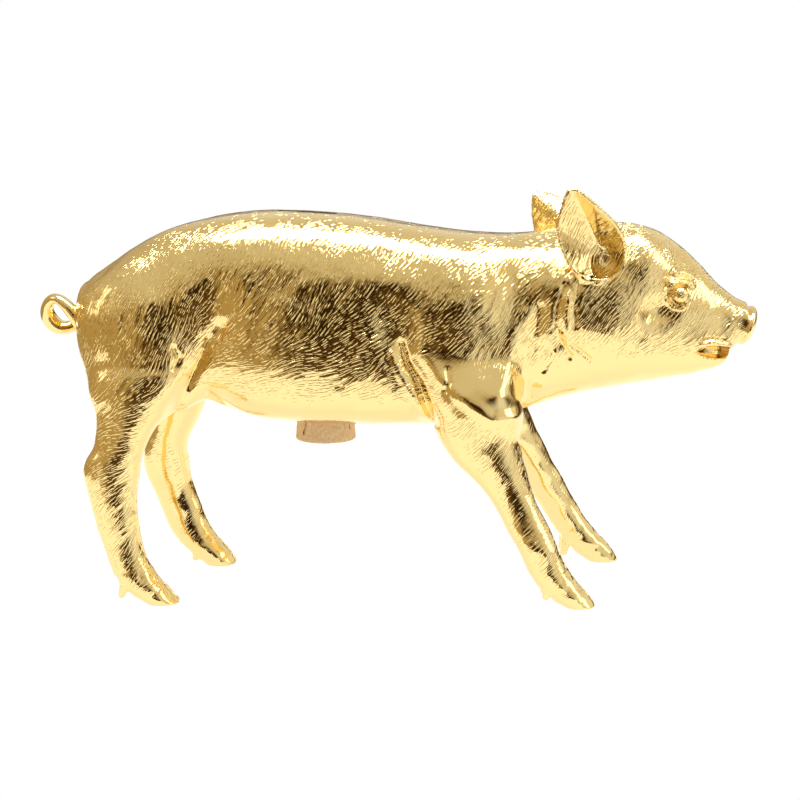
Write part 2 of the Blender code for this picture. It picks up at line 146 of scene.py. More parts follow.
# Skin creases, seen from the side and the same on both: depth, half width, then points x, z.
CREASES = (
    (2.6, 2.4, (1, 166), (4, 154), (11, 142), (17, 127), (22, 115)),
    (1.6, 1.6, (29, 150), (30, 143), (28, 138)),
    (2.4, 4.5, (86, 186), (84, 168), (84, 150), (82, 130)),
    (3.8, 6.0, (-111, 174), (-119, 163), (-125, 152), (-132, 140), (-141, 124)),
    (1.0, 1.8, (-118, 168), (-122, 158), (-128, 146), (-132, 137)),
    (1.4, 1.6, (-139, 163), (-136, 156), (-139, 150)),
    (1.3, 2.2, (101, 200), (97, 188), (96, 174), (99, 163)),
    (1.0, 1.8, (110, 201), (107, 188), (108, 176)),
    (1.1, 1.8, (100, 166), (103, 160), (106, 155)),
    (0.8, 1.4, (106, 163), (112, 159), (119, 153)),
    (0.9, 1.4, (92, 160), (93, 152), (90, 146)),
    (1.8, 2.4, (-119, 131), (-106, 121), (-93, 114)),
)
# Small folds of skin that stand out, in the same way: height, half width, then points.
FOLDS = (
    (1.5, 4.5, (13, 160), (35, 136), (56, 121), (70, 120)),
    (1.6, 3.0, (-5, 160), (0, 147), (7, 134), (13, 120)),
    (1.6, 6.0, (76, 182), (71, 168), (66, 150), (61, 136)),
    (1.3, 2.6, (103, 194), (102, 182), (103, 171)),
    (1.1, 1.8, (97, 158), (99, 150)),
)

# The face, seen from the side in the same way.
EYE = (174.6, 27.2, 192.6)
EYE_SIZE = (5.6, 5.0, 5.2)
LID_CREASES = (
    (2.4, 0.9, (167.6, 193.5), (168.8, 196.6), (171.8, 198.6), (175.6, 198.8), (179, 197.4)),
    (1.2, 0.8, (167.4, 194), (168.2, 190.6), (170.4, 187.6), (174, 185.8), (178, 187)),
    (2.0, 1.5, (165.4, 198), (166.8, 202), (169.8, 205.2)),
    (1.0, 0.9, (172, 202.6), (178, 203.6), (184.2, 201.2)),
)
LID_FOLDS = (
    (1.8, 1.2, (169.6, 199.8), (173.6, 201), (179, 200.6), (184, 198)),
    (1.2, 1.5, (171.5, 206.4), (177, 206.6), (184, 203.6)),
    (1.0, 1.1, (166, 189), (169.6, 184.8), (175, 183.6), (180, 186)),
)
LIP_CREASE = (1.2, 0.9, (190, 163), (197, 164.4), (205, 163.2))
LIP_FOLD = (1.7, 1.6, (191, 160.4), (197, 161.6), (205, 159.8), (213, 156.4))
MOUTH_OPENING = (200, 12, 155.2, 16, 12, 4.6, 5)
TONGUE = (191, 0, 154.6, 13.5, 7.0, 6.5, 5)
CHIN = (200, 0, 149.5, 8, 11, 5, 0)
SNOUT_DISC = (221.6, 0, 169.6, 4.8, 17.4, 12.6, 19)
NOSTRIL = (226.0, 6.8, 171.5, 5.0, 2.9, 3.9, 19)

# Rim of an ear, seen from its own side: x, distance out from the middle plane, z.
EAR_RIM = (
    (101, 57, 260.5), (105.5, 57.5, 260.8), (111, 57, 257.5), (117, 55, 252.5), (124, 51, 246.5),
    (131, 47, 240), (137, 42.5, 231.5), (139.5, 38.5, 222.5), (137, 38, 214.5), (131, 40, 207.5),
    (123, 43, 202.8), (114, 44.5, 203.5), (107, 46, 208.5), (102, 47.5, 215), (98.5, 49.5, 222),
    (96, 51.5, 229), (94.5, 53.5, 237), (96, 55.5, 246), (98.5, 56.5, 254),
)
EAR_CENTRE = (128, 27, 215.5)
EAR_THICKNESS = 3.0
EAR_RINGS = 14
EAR_BOWL = 1.25
EAR_HOLLOW = (127.5, 45, 215.5, 10.5, 15, 11, 0)
LEFT_EAR_SWEEP = 19.0

# Centre line of the curled tail, with the radius at each point.
TAIL = (
    (-190, -3, 165, 7.0), (-199, -6, 168.5, 5.6), (-204, -7.5, 173.5, 4.9), (-209, -8, 180.5, 4.3),
    (-214.5, -7.5, 186, 3.7), (-220, -5, 187.4, 3.6), (-224.8, -1, 183.5, 4.0),
    (-226, 2.5, 177.5, 4.6), (-223.5, 5.5, 171, 5.0), (-218.5, 7, 167.2, 4.6),
    (-212.5, 8, 167.6, 4.0), (-207, 8.5, 171, 3.4), (-202.5, 8.5, 176.5, 2.8),
)
TAIL_FLATNESS = 0.72

SLOT = (-58.5, 37.0, 5.0)         # coin slot: middle along X, length, width
CORK_X = -48.0
CORK_BOTTOM_Z, CORK_LENGTH = 96.0, 32.0
CORK_BOTTOM_R, CORK_TOP_R = 19.4, 17.2
CORK_GAP = 0.3


# ---------------------------------------------------------------- numbers along smooth curves

def track(rows):
    """A smooth curve through rows whose first column says where each one lies."""
    rows = np.array(rows, float)
    rows = rows[np.argsort(rows[:, 0])]
    keys, values = rows[:, 0], rows[:, 1:]
    slopes = np.gradient(values, keys, axis=0)

    def at(t):
        t = np.clip(t, keys[0], keys[-1])
        i = np.clip(np.searchsorted(keys, t) - 1, 0, len(keys) - 2)
        span = (keys[i + 1] - keys[i])[:, None]
        s = (t - keys[i])[:, None] / span
        start = (1 + 2 * s) * (1 - s) ** 2 * values[i] + s * (1 - s) ** 2 * span * slopes[i]
        end = s * s * (3 - 2 * s) * values[i + 1] + s * s * (s - 1) * span * slopes[i + 1]
        return (start + end).T

    return at


def smooth_step(low, high, value):
    t = np.clip((value - low) / (high - low), 0, 1)
    return t * t * (3 - 2 * t)


# ---------------------------------------------------------------- distance fields

def union(a, b, blend):
    """Joins two fields with a fillet of about the blend's size."""
    h = np.maximum(blend - np.abs(a - b), 0) / blend
    return np.minimum(a, b) - h * h * blend / 4


def carve(a, b, blend):
    """Takes field b out of field a."""
    return -union(-a, b, blend)


def ellipsoid(p, shape):
    x, y, z, rx, ry, rz, lean = shape
    c, s = math.cos(math.radians(lean)), math.sin(math.radians(lean))
    dx, dy, dz = p[:, 0] - x, p[:, 1] - y, p[:, 2] - z
    qx, qz = c * dx - s * dz, s * dx + c * dz
    ratio = np.sqrt((qx / rx) ** 2 + (dy / ry) ** 2 + (qz / rz) ** 2) + 1e-9
    slope = np.sqrt((qx / rx**2) ** 2 + (dy / ry**2) ** 2 + (qz / rz**2) ** 2) + 1e-9
    return ratio * (ratio - 1) / slope


def line_distance(p, points, radii=None, flatness=1.0):
    """Distance to a chain of straight pieces, less the radius there if there is one."""
    nearest = np.full(len(p), 1e9)
    for i in range(len(points) - 1):
        a, b = np.array(points[i], float), np.array(points[i + 1], float)
        ab = b - a
        t = np.clip((p - a) @ ab / (ab @ ab), 0, 1)
        away = p - a - t[:, None] * ab
        if flatness != 1.0:
            away[:, 1] *= flatness
        reach = np.sqrt((away**2).sum(1))
        if radii is not None:
            reach = reach - (radii[i] + t * (radii[i + 1] - radii[i]))
        nearest = np.minimum(nearest, reach)
    return nearest


def oval(u, v, half_u, half_v, power=2.0):
    """Distance to an oval, to first order; all four are arrays."""
    a, b = np.abs(u) / half_u, np.abs(v) / half_v
    ratio = (a**power + b**power) ** (1 / power) + 1e-6
    slope = np.hypot(a ** (power - 1) / half_u, b ** (power - 1) / half_v) / ratio ** (power - 1) + 1e-6
    return np.maximum((ratio - 1) / np.maximum(slope, 1 / np.maximum(half_u, half_v)), -12.0)


torso_at = track(TORSO)
leg_at = {name: track(table) for name, (table, _) in LEGS.items()}
TORSO_ENDS = (TORSO[0][0], TORSO[-1][0])


def torso_field(p):
    x, y, z = p.T
    top, bottom, half, share = torso_at(x)
    widest = bottom + share * (top - bottom)
    height = np.where(z > widest, top - widest, widest - bottom)
    fullness = 2.2 + 0.8 * smooth_step(-135, -95, x) * smooth_step(60, 10, x)
    shoulders = 2.1 + 0.8 * smooth_step(-150, -95, x) * smooth_step(100, 50, x)
    across = oval(y, z - widest, half, height, np.where(z > widest, shoulders, fullness))
    beyond = np.maximum(TORSO_ENDS[0] - x, x - TORSO_ENDS[1])
    return np.maximum(across, beyond) + np.maximum(beyond, 0) * 0.5


def leg_field(p, name):
    table, side = LEGS[name]
    x, y, z = p.T
    cx, cy, half_x, half_y = leg_at[name](z)
    across = oval(x - cx, y - side * cy, half_x, half_y, 2.1)
    above = z - table[0][0]
    return np.maximum(across, above)


def cleft_field(p, name):
    """The gap between the two toes: a narrow wedge that opens towards the front and the sole."""
    table, side = LEGS[name]
    _, x, y, _, _ = table[-2]
    side_way = np.abs(p[:, 1] - side * y)
    reach = p[:, 0] - (x - 1) + 0.35 * (p[:, 2] - 4)
    width = 0.5 + 0.075 * np.maximum(reach, 0)
    height = p[:, 2] - 15 - 0.2 * reach
    return np.maximum(np.maximum(side_way - width, -reach), height)


def hoof_rows(name):
    """Where the dew claws of a leg start and end."""
    table, side = LEGS[name]
    z, x, y, half_along, _ = table[-4]
    rows = []
    for spread in (-6.6, 6.6):
        heel = (x - half_along + CLAW_FORWARD[name], side * y + spread, z + 5)
        rows.append((heel, (heel[0] - 2.6, heel[1] + spread * 0.2, heel[2] - 11.5)))
    return rows


def mirrored(p):
    folded = p.copy()
    folded[:, 1] = np.abs(folded[:, 1])
    return folded


def crease_depth(folded, lines):
    """How deep lines drawn on the animal's side press into the skin."""
    flat = folded[:, [0, 2]]
    total = np.zeros(len(folded))
    for height, width, *points in lines:
        corners = np.array(points)
        close = ((flat > corners.min(0) - 3 * width) & (flat < corners.max(0) + 3 * width)).all(1)
        if close.any():
            reach = line_distance(flat[close], points)
            total[close] += height * np.exp(-((reach / width) ** 2))
    return total * smooth_step(8, 16, folded[:, 1])


def near(p, low, high, margin):
    """Whether the points' own box comes within the margin of a box."""
    return bool(
        ((p.max(0) > np.array(low) - margin) & (p.min(0) < np.array(high) + margin)).all()
    )


def skin_field(p):
    """Signed distance to the animal's skin without ears; negative inside."""
    folded = mirrored(p)
    d = torso_field(p)
    for *shape, blend in MASSES:
        d = union(d, ellipsoid(folded, shape), blend)
    for name, (table, side) in LEGS.items():
        d = union(d, leg_field(p, name), LEG_BLEND)
        if near(p, (-200, -70, -6), (150, 70, 40), 4):
            for heel, tip in hoof_rows(name):
                d = union(d, line_distance(p, (heel, tip), CLAW_RADII), CLAW_BLEND)
            d = carve(d, cleft_field(p, name), 1.2)
    for *shape, blend in DENTS:
        d = carve(d, ellipsoid(folded, shape), blend)
    d += crease_depth(folded, CREASES) - crease_depth(folded, FOLDS)
    if near(p, (150, -40, 130), (232, 40, 210), 6):
        d = face_field(folded, d)
    if near(p, (-232, -14, 158), (-186, 14, 194), 4):
        points = [row[:3] for row in TAIL_PATH]
        radii = [row[3] for row in TAIL_PATH]
        d = union(d, line_distance(p, points, radii, TAIL_FLATNESS), TAIL_BLEND)
    return np.maximum(d, GROUND - p[:, 2])


def face_field(folded, d):
    d = union(d, ellipsoid(folded, CHIN), 6)
    d = union(d, ellipsoid(folded, SNOUT_DISC), 1.8)
    d = union(d, ellipsoid(folded, (*EYE, *EYE_SIZE, -12)), 1.2)
    d = d + crease_depth(folded, LID_CREASES) - crease_depth(folded, LID_FOLDS)
    d = d + crease_depth(folded, [LIP_CREASE]) - crease_depth(folded, [LIP_FOLD])
    d = carve(d, ellipsoid(folded, MOUTH_OPENING), 1.2)
    d = union(d, ellipsoid(folded, TONGUE), 1.0)
    return carve(d, ellipsoid(folded, NOSTRIL), 1.6)


def tail_path():
    """Points close together on a smooth curve through the tail's rows."""
    rows = np.array(TAIL, float)
    at = track(np.column_stack([np.arange(len(rows)), rows]))
    return at(np.linspace(0, len(rows) - 1, 45)).T


TAIL_PATH = tail_path()


# ---------------------------------------------------------------- meshing

class Grid:
    """A block of space cut into cells, with the distance to the skin in each."""

    def __init__(self, low, high):
        self.low = np.array(low, float)
        self.shape = tuple(
            int(math.ceil((h - l) / VOXEL / BLOCK)) * BLOCK for l, h in zip(low, high)
        )
        self.values = np.full(self.shape, 8.0, np.float32)

    def points(self, start):
        axes = [self.low[k] + VOXEL * (start[k] + np.arange(BLOCK)) for k in range(3)]
        return np.stack(np.meshgrid(*axes, indexing="ij"), -1).reshape(-1, 3)

    def fill(self, field):
        """Works the field out wherever the skin may be, and only its sign elsewhere."""
        starts = [
            (i, j, k)
            for i in range(0, self.shape[0], BLOCK)
            for j in range(0, self.shape[1], BLOCK)
            for k in range(0, self.shape[2], BLOCK)
        ]
        middle = VOXEL * (BLOCK - 1) / 2
        centres = self.low + VOXEL * np.array(starts, float) + middle
        rough = np.concatenate([field(part) for part in np.array_split(centres, 8)])
        reach = middle * math.sqrt(3) * 1.5 + 3
        for (i, j, k), value in zip(starts, rough):
            block = (slice(i, i + BLOCK), slice(j, j + BLOCK), slice(k, k + BLOCK))
            if abs(value) > reach:
                self.values[block] = math.copysign(8.0, value)
            else:
                found = field(self.points((i, j, k))).reshape((BLOCK,) * 3)
                self.values[block] = np.clip(found, -8, 8)

    def add(self, mesh_points, quads, triangles, blend):
        """Blends a closed mesh into the field."""
        transform = openvdb.createLinearTransform(VOXEL)
        level = openvdb.FloatGrid.createLevelSetFromPolygons(
            mesh_points - self.low, triangles=triangles, quads=quads,
            transform=transform, halfWidth=6.0,
        )
        solid = np.full(self.shape, 6 * VOXEL, np.float32)
        level.copyToArray(solid)
        self.values = union(self.values, solid, blend).astype(np.float32)

    def hollow(self, shape, blend):
        """Takes an ellipsoid out of the field."""
        reach = max(shape[3:6]) + 4
        centre = np.array(shape[:3]) - self.low
        firsts = ((centre - reach) / VOXEL).astype(int)
        lasts = ((centre + reach) / VOXEL).astype(int)
        spans = [range(first, last) for first, last in zip(firsts, lasts)]
        axes = [self.low[k] + VOXEL * np.array(spans[k]) for k in range(3)]
        points = np.stack(np.meshgrid(*axes, indexing="ij"), -1)
        block = tuple(slice(span.start, span.stop) for span in spans)
        solid = ellipsoid(points.reshape(-1, 3), shape).reshape(points.shape[:3])
        self.values[block] = carve(self.values[block], solid, blend)

    def mesh(self):
        grid = openvdb.FloatGrid(8.0)
        grid.copyFromArray(self.values, tolerance=0.0)
        points, _, quads = grid.convertToPolygons(isovalue=0.0, adaptivity=0.0)
        return points.astype(float) * VOXEL + self.low, quads.astype(np.int64)


def make_mesh(name, points, faces):
    """A mesh object from points in millimetres and faces of one size."""
    mesh = bpy.data.meshes.new(name)
    count = faces.shape[1]
    mesh.vertices.add(len(points))
    mesh.vertices.foreach_set("co", (points * MM).astype(np.float32).ravel())
    mesh.loops.add(faces.size)
    mesh.loops.foreach_set("vertex_index", faces.astype(np.int32).ravel())
    mesh.polygons.add(len(faces))
    mesh.polygons.foreach_set("loop_start", np.arange(0, faces.size, count, dtype=np.int32))
    mesh.update(calc_edges=True)
    mesh.validate()
    obj = bpy.data.objects.new(name, mesh)
    bpy.context.scene.collection.objects.link(obj)
    return obj


def vertex_normals(points, quads):
    a, b, c, d = (points[quads[:, k]] for k in range(4))
    face = np.cross(c - a, d - b)
    normals = np.zeros_like(points)
    for k in range(4):
        for axis in range(3):
            normals[:, axis] += np.bincount(quads[:, k], face[:, axis], len(points))
    return normals / (np.linalg.norm(normals, axis=1, keepdims=True) + 1e-12)


# ---------------------------------------------------------------- ears

def ear_solid(side, sweep):
    """The bowl of an ear as a closed mesh: points in mm, and its quads."""
    centre = np.array(EAR_CENTRE, float)
    rim = np.array(EAR_RIM, float)
    steps = np.linspace(0, 1, EAR_RINGS + 1)[1:]
    rows = []
    for share in steps:
        row = centre + (rim - centre) * share
        row[:, 1] = centre[1] + (rim[:, 1] - centre[1]) * share**EAR_BOWL
        rows.append(row)
    rings = np.array(rows)
    count = len(rim)
    inner = rings.reshape(-1, 3)
    quads = []
    for r in range(EAR_RINGS - 1):
        for i in range(count):
            j = (i + 1) % count
            quads.append((r * count + i, r * count + j, (r + 1) * count + j, (r + 1) * count + i))
    normals = vertex_normals(inner, np.array(quads))
    normals *= np.sign(normals[:, 1:2].mean() or 1)
    thick = EAR_THICKNESS * (1.15 - 0.45 * np.repeat(steps, count))[:, None]
    front, back = inner + normals * thick / 2, inner - normals * thick / 2
    total = len(inner)
    points = np.vstack([front, back, [centre + (0, 1.5, 0)], [centre - (0, 1.5, 0)]])
    closed = [tuple(q) for q in quads] + [tuple(total + v for v in reversed(q)) for q in quads]
    last = (EAR_RINGS - 1) * count
    triangles = []
    for i in range(count):
        j = (i + 1) % count
        closed.append((last + i, last + j, total + last + j, total + last + i))
        triangles.append((2 * total, j, i))
        triangles.append((2 * total + 1, total + i, total + j))
    turn = math.radians(sweep)
    c, s = math.cos(turn), math.sin(turn)
    away = points - centre
    points = centre + np.column_stack(
        [c * away[:, 0] - s * away[:, 2], away[:, 1], s * away[:, 0] + c * away[:, 2]]
    )
    points[:, 1] *= side
    return points, np.array(closed), np.array(triangles)


# ---------------------------------------------------------------- fur

def lattice(p, cell, seed):
    """Smooth random numbers about zero on a lattice with cells of that size."""
    rng = np.random.default_rng(seed)
    table = rng.standard_normal((32, 32, 32)).astype(np.float32)
    q = p / cell
    base = np.floor(q).astype(int)
    f = q - base
    f = f * f * (3 - 2 * f)
    total = np.zeros(len(p))
    for corner in range(8):
        step = np.array([(corner >> k) & 1 for k in range(3)])
        weight = np.prod(np.where(step, f, 1 - f), axis=1)
        i, j, k = ((base + step) % 32).T
        total += weight * table[i, j, k]
    return total


def hair_direction(p):
    """Which way the hair lies at each point: back and down, flatter towards the belly."""
    x, _, z = p.T
    steep = 14 + 46 * smooth_step(118, 215, z)
    haunch = smooth_step(-112, -140, x)
    steep = steep + haunch * (68 - steep) * smooth_step(90, 175, z)
    front = smooth_step(14, 44, x)
    steep = steep + front * (54 - steep)
    head = smooth_step(120, 170, x)
    steep = steep + head * (38 - steep)
    steep = steep + (46 - steep) * smooth_step(110, 80, z)
    steep = steep + 9 * lattice(p, 26.0, 5) + 11 * lattice(p, 8.0, 7)
    angle = np.radians(steep)
    return np.column_stack([-np.cos(angle), np.zeros(len(p)), -np.sin(angle)])


def bare_patch(x, z):
    """One on the smooth muscles of the upper arm and the front of the thigh, seen from the side."""
    arm = np.hypot((x - 44 - 0.9 * (140 - z)) / 27, (z - 139) / 22)
    thigh = np.hypot((x + 137 + 0.62 * (132 - z)) / 10, (z - 128) / 34)
    return smooth_step(1.15, 0.75, np.minimum(arm, thigh))


def fur_amount(p, normals):
    """How deep the engraved hair is: full on the back and flanks, none on the belly and hooves."""
    x, y, z = p.T
    level = 128 + 26 * smooth_step(30, 90, x) - 10 * smooth_step(-90, -150, x)
    amount = smooth_step(level - 12, level + 10, z)
    outside = smooth_step(-0.35, 0.4, normals[:, 1] * np.sign(y))
    leg = smooth_step(3, 14, z) * (0.3 + 0.7 * outside) * (0.75 - 0.25 * smooth_step(0, 30, x))
    amount = np.where(z < 112, leg, np.maximum(amount, leg * smooth_step(140, 112, z)))
    amount *= 1 - 0.75 * smooth_step(-0.2, -0.75, normals[:, 2])
    head = smooth_step(100, 125, x)
    amount *= 1 - 0.45 * (1 - head) * smooth_step(0.6, 0.95, normals[:, 2])
    amount *= 1 - 0.75 * bare_patch(x, z)
    tail = smooth_step(-205, -208, x)
    snout = smooth_step(214, 221, x)
    return amount * (1 - tail) * (1 - 0.9 * snout)


def relief(points, normals):
    """Presses strokes of hair and slow unevenness into the skin."""
    hair = hair_direction(points)
    hair -= normals * (hair * normals).sum(1, keepdims=True)
    hair /= np.linalg.norm(hair, axis=1, keepdims=True) + 1e-9
    amount = fur_amount(points, normals)
    strokes = np.zeros(len(points))
    steps = np.linspace(-4.5, 4.5, 9)
    for step in steps:
        strokes += lattice(points + hair * step, 1.7, 11)
    strokes /= math.sqrt(len(steps))
    slow = (lattice(points, 17.0, 3) * 0.30 + lattice(points, 8.0, 4) * 0.12)
    slow *= 1 - 0.6 * smooth_step(205, 225, points[:, 2])
    slow += lattice(points, 3.6, 6) * 0.22 * smooth_step(34, 16, points[:, 2])
    keep = smooth_step(GROUND + 0.4, GROUND + 3.0, points[:, 2])
    shift = (strokes * 0.085 * amount + slow) * keep
    across = np.cross(normals, hair)
    return points + normals * shift[:, None], across, amount


# ---------------------------------------------------------------- cutting the skin into pieces

def box_cutter(name, low, high):
    bm = bmesh.new()
    bmesh.ops.create_cube(bm, size=1.0)
    low, high = Vector(low) * MM, Vector(high) * MM
    placed = Matrix.Translation((low + high) / 2) @ Matrix.Diagonal((*(high - low), 1))
    bmesh.ops.transform(bm, matrix=placed, verts=bm.verts[:])
    return from_bmesh(name, bm)


def from_bmesh(name, bm):
    mesh = bpy.data.meshes.new(name)
    bm.to_mesh(mesh)
    bm.free()
    obj = bpy.data.objects.new(name, mesh)
    bpy.context.scene.collection.objects.link(obj)
    return obj


def cone_cutter(name, low_z, high_z, low_r, high_r):
    bm = bmesh.new()
    bmesh.ops.create_cone(
        bm, cap_ends=True, segments=96, radius1=low_r * MM, radius2=high_r * MM,
        depth=(high_z - low_z) * MM,
    )
    bmesh.ops.translate(bm, vec=Vector((CORK_X, 0, (low_z + high_z) / 2)) * MM, verts=bm.verts[:])
    return from_bmesh(name, bm)


def cavity_cutter():
    """The hollow: the torso's own sections, one wall's thickness in."""
    stations = np.linspace(-187, 150, 46)
    top, bottom, half, share = torso_at(stations)
    top, bottom, half = top - WALL, bottom + WALL, half - SIDE_WALL
    widest = bottom + share * (top - bottom)
    angles = np.linspace(0, 2 * math.pi, 48, endpoint=False)
    rise = np.sin(angles)[None, :]
    z = widest[:, None] + rise * np.where(rise > 0, (top - widest)[:, None], (widest - bottom)[:, None])
    y = half[:, None] * np.cos(angles)[None, :]
    bm = bmesh.new()
    rings = [
        [bm.verts.new((x * MM, y[i, j] * MM, z[i, j] * MM)) for j in range(len(angles))]
        for i, x in enumerate(stations)
    ]
    for near_ring, far_ring in zip(rings, rings[1:]):
        for j in range(len(angles)):
            k = (j + 1) % len(angles)
            bm.faces.new((near_ring[j], near_ring[k], far_ring[k], far_ring[j]))
    bm.faces.new(rings[0][::-1])
    bm.faces.new(rings[-1])
    bmesh.ops.recalc_face_normals(bm, faces=bm.faces[:])
    return from_bmesh("cavity", bm)


def cut(obj, cutter, operation):
    modifier = obj.modifiers.new(operation, "BOOLEAN")
    modifier.operation = operation
    modifier.solver = "MANIFOLD"
    modifier.object = cutter
    bpy.context.view_layer.update()
    mesh = bpy.data.meshes.new_from_object(obj.evaluated_get(bpy.context.evaluated_depsgraph_get()))
    obj.modifiers.clear()
    old = obj.data
    obj.data = mesh
    bpy.data.meshes.remove(old)
    return obj


def copy_of(obj, name):
    made = bpy.data.objects.new(name, obj.data.copy())
    bpy.context.scene.collection.objects.link(made)
    return made


# ---------------------------------------------------------------- materials

def nodes_of(material):
    material.use_nodes = True
    tree = material.node_tree
    return tree, tree.nodes["Principled BSDF"]


def add_node(tree, kind, inputs=None, **settings):
    node = tree.nodes.new(kind)
    for key, value in settings.items():
        setattr(node, key, value)
    for key, value in (inputs or {}).items():
        if isinstance(value, bpy.types.NodeSocket):
            tree.links.new(value, node.inputs[key])
        else:
            node.inputs[key].default_value = value
    return node


HAIR_HEIGHT = 0.00034                         # how far the engraved hairs stand out, in metres
HAIR_LAYERS = ((150.0, 3.1), (300.0, 2.7))    # scale and frequency of the coarse and fine hairs


def gold_material():
    """Mirror-bright gold plating over engraved hair."""
    material = bpy.data.materials.new("gold_plating")
    tree, shader = nodes_of(material)
    shader.inputs["Base Color"].default_value = (1.0, 0.766, 0.336, 1.0)
    shader.inputs["Metallic"].default_value = 1.0
    where = add_node(tree, "ShaderNodeTexCoord").outputs["Object"]
    across = add_node(tree, "ShaderNodeAttribute", attribute_name="across").outputs["Vector"]
    fur = add_node(tree, "ShaderNodeAttribute", attribute_name="fur").outputs["Fac"]
    layers = []
    for scale, frequency in HAIR_LAYERS:
        strokes = add_node(
            tree, "ShaderNodeTexGabor",
            {"Vector": where, "Scale": scale, "Frequency": frequency, "Anisotropy": 0.96},
            gabor_type="3D",
        )
        tree.links.new(across, strokes.inputs[5])
        layers.append(strokes.outputs["Value"])
    both = add_node(tree, "ShaderNodeMath", {0: layers[0], 1: layers[1]}, operation="ADD")
    sharp = add_node(
        tree, "ShaderNodeMapRange",
        {"Value": both.outputs[0], "From Min": 0.99, "From Max": 1.53, "To Min": 0.0, "To Max": 1.0},
        interpolation_type="SMOOTHSTEP",
    )
    depth = add_node(tree, "ShaderNodeMath", {0: sharp.outputs["Result"], 1: fur}, operation="MULTIPLY")
    pits = add_node(tree, "ShaderNodeTexNoise", {"Vector": where, "Scale": 260.0, "Detail": 2.0})
    fine = add_node(
        tree, "ShaderNodeBump",
        {"Strength": 0.06, "Distance": 0.0006, "Height": pits.outputs["Fac"]},
    )
    bump = add_node(
        tree, "ShaderNodeBump",
        {"Strength": 1.0, "Distance": HAIR_HEIGHT, "Height": depth.outputs[0],
         "Normal": fine.outputs["Normal"]},
    )
    tree.links.new(bump.outputs["Normal"], shader.inputs["Normal"])
    haze = add_node(tree, "ShaderNodeTexNoise", {"Vector": where, "Scale": 45.0, "Detail": 4.0})
    rough = add_node(
        tree, "ShaderNodeMapRange",
        {"Value": haze.outputs["Fac"], "From Min": 0.3, "From Max": 0.8,
         "To Min": 0.05, "To Max": 0.13},
    )
    tree.links.new(rough.outputs["Result"], shader.inputs["Roughness"])
    return material


def cork_material():
    """Pale natural cork with brown pores and darker growth bands."""
    material = bpy.data.materials.new("natural_cork")
    tree, shader = nodes_of(material)
    where = add_node(tree, "ShaderNodeTexCoord").outputs["Object"]
    grain = add_node(
        tree, "ShaderNodeTexNoise",
        {"Vector": where, "Scale": 420.0, "Detail": 6.0, "Roughness": 0.65},
    )
    stretched = add_node(tree, "ShaderNodeMapping", {"Vector": where, "Scale": (260.0, 260.0, 90.0)})
    pores = add_node(
        tree, "ShaderNodeTexNoise",
        {"Vector": stretched.outputs["Vector"], "Scale": 1.0, "Detail": 3.0},
    )
    colour = add_node(tree, "ShaderNodeValToRGB", {"Fac": grain.outputs["Fac"]})
    colour.color_ramp.elements[0].position = 0.30
    colour.color_ramp.elements[0].color = (0.74, 0.49, 0.25, 1)
    colour.color_ramp.elements[1].position = 0.62
    colour.color_ramp.elements[1].color = (0.98, 0.74, 0.45, 1)
    holes = add_node(tree, "ShaderNodeValToRGB", {"Fac": pores.outputs["Fac"]})
    holes.color_ramp.elements[0].position = 0.27
    holes.color_ramp.elements[0].color = (0.16, 0.07, 0.025, 1)
    holes.color_ramp.elements[1].position = 0.36
    holes.color_ramp.elements[1].color = (1, 1, 1, 1)
    mixed = add_node(tree, "ShaderNodeMix", data_type="RGBA", blend_type="MULTIPLY")
    mixed.inputs["Factor"].default_value = 1.0
    tree.links.new(colour.outputs["Color"], mixed.inputs[6])
    tree.links.new(holes.outputs["Color"], mixed.inputs[7])
    tree.links.new(mixed.outputs[2], shader.inputs["Base Color"])
    shader.inputs["Roughness"].default_value = 0.85
    bump = add_node(
        tree, "ShaderNodeBump",
        {"Strength": 0.5, "Distance": 0.0005, "Height": pores.outputs["Fac"]},
    )
    tree.links.new(bump.outputs["Normal"], shader.inputs["Normal"])
    return material


def steel_material():
    """Drawn steel rod with fine lines along it."""
    material = bpy.data.materials.new("steel")
    tree, shader = nodes_of(material)
    where = add_node(tree, "ShaderNodeTexCoord").outputs["Object"]
    lines = add_node(tree, "ShaderNodeMapping", {"Vector": where, "Scale": (3000.0, 3000.0, 60.0)})
    noise = add_node(tree, "ShaderNodeTexNoise", {"Vector": lines.outputs["Vector"], "Scale": 1.0})
    rough = add_node(
        tree, "ShaderNodeMapRange", {"Value": noise.outputs["Fac"], "To Min": 0.25, "To Max": 0.5}
    )
    tree.links.new(rough.outputs["Result"], shader.inputs["Roughness"])
    shader.inputs["Base Color"].default_value = (0.56, 0.56, 0.58, 1.0)
    shader.inputs["Metallic"].default_value = 1.0
    return material


# ---------------------------------------------------------------- the object

